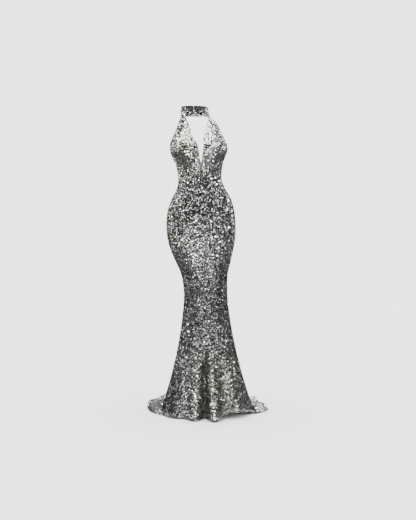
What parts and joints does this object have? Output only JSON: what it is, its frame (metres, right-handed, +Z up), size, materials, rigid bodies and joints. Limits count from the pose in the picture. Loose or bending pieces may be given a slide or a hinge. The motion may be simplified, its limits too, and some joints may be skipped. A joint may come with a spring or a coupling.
{
  "type": "evening gown",
  "caption": "Floor-length halter-neck mermaid evening gown with a collar band, plunging keyhole front, low open back and small train, in the hollow form it has when worn.",
  "frame": {"origin": "middle of the collar band, where the wearer's neck holds the gown up", "axes": "+Z up, the front faces -Y, +X to the wearer's left"},
  "size_m": [0.6263, 0.7281, 1.553],
  "materials": {
    "sequin_cloth": "mesh cloth covered with overlapping mirror-silver sequins",
    "cord": "satin-covered elastic cord",
    "button_metal": "polished"
  },
  "bodies": {
    "root": {"collar": "sequin_cloth", "front_left": "sequin_cloth", "front_right": "sequin_cloth", "back_left": "sequin_cloth", "back_right": "sequin_cloth", "nape_button_1": "button_metal", "nape_button_2": "button_metal", "nape_loop_1": "cord", "nape_loop_2": "cord"}
  },
  "joints": []
}
